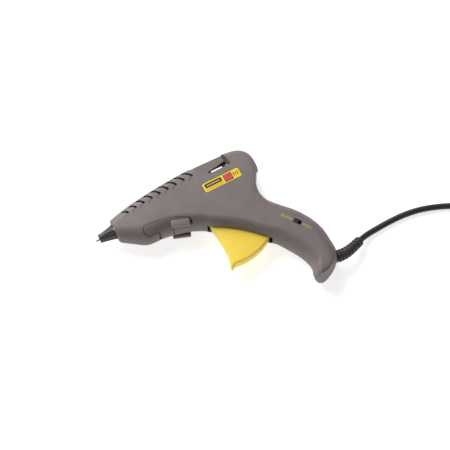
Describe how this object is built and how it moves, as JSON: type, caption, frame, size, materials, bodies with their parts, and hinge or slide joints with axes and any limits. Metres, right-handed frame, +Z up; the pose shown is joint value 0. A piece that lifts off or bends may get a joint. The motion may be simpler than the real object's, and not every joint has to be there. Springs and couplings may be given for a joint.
{
  "type": "glue gun",
  "caption": "Corded hot-melt glue gun lying on its side: feed trigger, sliding stick carriage, fold-down front stand, heat switch, cord and plug.",
  "frame": {"origin": "on the right flank's flat face, straight under the barrel axis 112 mm behind the nozzle tip; the gun lies on this face", "axes": "+Z up out of the left flank, +X along the barrel from nozzle to stick inlet, +Y towards the top ridge"},
  "size_m": [0.4717, 0.1935, 0.035],
  "materials": {
    "casing": "fine-textured warm grey moulded plastic",
    "yellow_plastic": "satin bright yellow moulded plastic",
    "black_plastic": "satin black plastic",
    "black_rubber": "matt black rubber and soft vinyl",
    "brass": "nickel-plated brass",
    "spring_steel": "zinc-plated steel",
    "cast_alloy": "die-cast aluminium",
    "ceramic": "off-white ceramic and mica",
    "silicone": "rust-red silicone",
    "red_wire": "red wire insulation",
    "blue_wire": "blue wire insulation",
    "label": null
  },
  "bodies": {
    "housing": {"body_left": "casing", "body_right": "casing", "nozzle_tip": "brass", "nozzle_sleeve": "black_rubber", "heating_chamber": "cast_alloy", "chamber_ring_front": "ceramic", "chamber_ring_rear": "ceramic", "ptc_heater": "ceramic", "heater_clip": "spring_steel", "thermal_fuse": "cast_alloy", "inlet_sleeve": "silicone", "sleeve_clamp": "spring_steel", "return_spring": "spring_steel", "trigger_pin": "spring_steel", "stick_collar": "black_plastic", "stand_pin": "spring_steel", "switch_body": "black_plastic", "rating_label": "label", "live_wire": "red_wire", "neutral_wire": "blue_wire", "switch_wire": "red_wire", "housing_screw_1": "spring_steel", "housing_screw_2": "spring_steel", "housing_screw_3": "spring_steel", "housing_screw_4": "spring_steel", "housing_screw_5": "spring_steel", "housing_screw_6": "spring_steel", "cord_clamp": "black_plastic", "strain_relief": "black_rubber", "cord_inner": "black_rubber", "cord_lead": "black_rubber", "cord_coil": "black_rubber", "cord_tail": "black_rubber", "cord_tie": "black_plastic", "plug_body": "black_plastic", "plug_pin_1": "brass", "plug_pin_2": "brass"},
    "trigger": {"trigger": "yellow_plastic"},
    "carriage": {"feed_carriage": "yellow_plastic", "jaw_pin": "spring_steel"},
    "jaw": {"gripper_jaw": "spring_steel"},
    "stand": {"stand": "casing"},
    "switch": {"switch_knob": "black_plastic"}
  },
  "joints": [
    {"name": "trigger_squeeze", "type": "hinge", "parent": "housing", "child": "trigger", "pos_m": [0.012, -0.034, 0.0175], "axis": [0, 0, 1], "range_deg": [0, 22], "stiffness_Nm_per_rad": 0.6, "springref_deg": -20.05},
    {"name": "carriage_slide", "type": "slide", "parent": "housing", "child": "carriage", "axis": [-1, 0, 0], "range_m": [0, 0.0116], "deforming": ["return_spring"]},
    {"name": "jaw_bite", "type": "hinge", "parent": "carriage", "child": "jaw", "pos_m": [0.022, -0.0099, 0.0175], "axis": [0, 0, -1], "range_deg": [0, 5.1]},
    {"name": "stand_fold", "type": "hinge", "parent": "housing", "child": "stand", "pos_m": [-0.0604, -0.021, 0.0175], "axis": [0, 0, -1], "range_deg": [0, 78]},
    {"name": "heat_switch", "type": "slide", "parent": "housing", "child": "switch", "axis": [0.5835, -0.8121, 0], "range_m": [0, 0.003]}
  ],
  "couplings": [
    {"joint": "carriage_slide", "follows": "trigger_squeeze", "m_per_rad": 0.03},
    {"joint": "jaw_bite", "follows": "trigger_squeeze", "ratio": 0.23}
  ]
}
